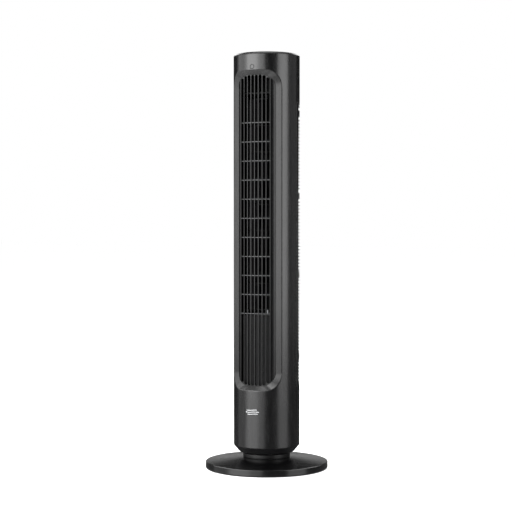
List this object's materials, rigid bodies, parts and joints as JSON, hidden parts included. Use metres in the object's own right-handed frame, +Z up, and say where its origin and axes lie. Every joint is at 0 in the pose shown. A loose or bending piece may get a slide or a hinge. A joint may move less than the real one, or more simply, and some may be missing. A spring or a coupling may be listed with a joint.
{
  "type": "tower fan",
  "caption": "Slim upright tower fan: a satin black round column with a tall slatted outlet, swinging on a weighted dished foot, with a cross-flow wheel inside.",
  "frame": {"origin": "on the floor, under the middle of the round foot", "axes": "+Z up along the swivel axis, the outlet faces -Y, +X to the right as seen from the front looking along +Y"},
  "size_m": [0.286, 0.286, 0.9655],
  "materials": {
    "satin_black": "fine-grained satin moulding",
    "matt_black": "matt moulding",
    "inner_black": "plain moulding",
    "gloss_black": "polished moulding",
    "smoked_window": "polished smoked acrylic",
    "bearing_plastic": "natural acetal",
    "soft_rubber": "moulded rubber",
    "circuit_board": "solder-masked board",
    "bright_steel": "ground steel",
    "zinc_plate": "zinc-plated steel",
    "ballast_iron": "raw casting",
    "winding_copper": "enamelled winding"
  },
  "bodies": {
    "base": {"base_cover": "satin_black", "base_plate": "matt_black", "ballast": "ballast_iron", "base_foot_1": "soft_rubber", "base_foot_2": "soft_rubber", "base_foot_3": "soft_rubber", "base_foot_4": "soft_rubber", "base_foot_5": "soft_rubber", "base_screw_1": "zinc_plate", "base_screw_2": "zinc_plate", "base_screw_3": "zinc_plate", "swivel_post": "matt_black", "post_nut": "zinc_plate", "thrust_washer": "bearing_plastic", "retaining_ring": "bright_steel", "neck_collar": "satin_black", "swing_gear": "bearing_plastic"},
    "tower": {"front_shell": "satin_black", "rear_lower_cover": "satin_black", "rear_upper_cover": "satin_black", "rear_grille": "satin_black", "top_cap": "satin_black", "bottom_skirt": "matt_black", "outlet_grille": "matt_black", "handle_cup": "matt_black", "run_capacitor": "matt_black", "tower_floor": "inner_black", "lower_deck": "inner_black", "upper_deck": "inner_black", "scroll_wall": "inner_black", "tongue_wall": "inner_black", "control_panel": "gloss_black", "display_window": "smoked_window", "swivel_hub": "bearing_plastic", "axle_bearing": "bearing_plastic", "cord_gland": "soft_rubber", "motor_mount_1": "soft_rubber", "motor_mount_2": "soft_rubber", "motor_mount_3": "soft_rubber", "power_board": "circuit_board", "control_board": "circuit_board", "motor_bearing_lower": "bright_steel", "motor_bearing_upper": "bright_steel", "swing_motor": "zinc_plate", "shell_screw_1": "zinc_plate", "shell_screw_2": "zinc_plate", "shell_screw_3": "zinc_plate", "shell_screw_4": "zinc_plate", "motor_housing": "zinc_plate", "motor_end_cap": "zinc_plate", "motor_stator": "winding_copper"},
    "wheel": {"fan_wheel": "inner_black", "wheel_axle": "bright_steel", "motor_rotor": "bright_steel"},
    "pinion": {"swing_pinion": "bearing_plastic"},
    "key_speed_body": {"key_speed": "gloss_black"},
    "key_mode_body": {"key_mode": "gloss_black"},
    "key_timer_body": {"key_timer": "gloss_black"},
    "key_swing_body": {"key_swing": "gloss_black"},
    "power_key_body": {"power_key": "gloss_black"}
  },
  "joints": [
    {"name": "oscillation", "type": "hinge", "parent": "base", "child": "tower", "pos_m": [0, 0, 0.0313], "axis": [0, 0, 1], "range_deg": [-35, 35]},
    {"name": "pinion_spin", "type": "hinge", "parent": "tower", "child": "pinion", "pos_m": [0.03, 0, 0.033], "axis": [0, 0, 1], "range_deg": [-176, 176]},
    {"name": "wheel_spin", "type": "hinge", "parent": "tower", "child": "wheel", "pos_m": [0, 0.004, 0.6], "axis": [0, 0, 1], "continuous": true},
    {"name": "key_speed_press", "type": "slide", "parent": "tower", "child": "key_speed_body", "axis": [0, 0, -1], "range_m": [0, 0.0008], "stiffness_N_per_m": 600, "springref_m": -0.0005},
    {"name": "key_mode_press", "type": "slide", "parent": "tower", "child": "key_mode_body", "axis": [0, 0, -1], "range_m": [0, 0.0008], "stiffness_N_per_m": 600, "springref_m": -0.0005},
    {"name": "key_timer_press", "type": "slide", "parent": "tower", "child": "key_timer_body", "axis": [0, 0, -1], "range_m": [0, 0.0008], "stiffness_N_per_m": 600, "springref_m": -0.0005},
    {"name": "key_swing_press", "type": "slide", "parent": "tower", "child": "key_swing_body", "axis": [0, 0, -1], "range_m": [0, 0.0008], "stiffness_N_per_m": 600, "springref_m": -0.0005},
    {"name": "power_key_press", "type": "slide", "parent": "tower", "child": "power_key_body", "axis": [0, 1, 0], "range_m": [0, 0.0008], "stiffness_N_per_m": 600, "springref_m": -0.0005}
  ],
  "couplings": [
    {"joint": "pinion_spin", "follows": "oscillation", "ratio": -5}
  ]
}
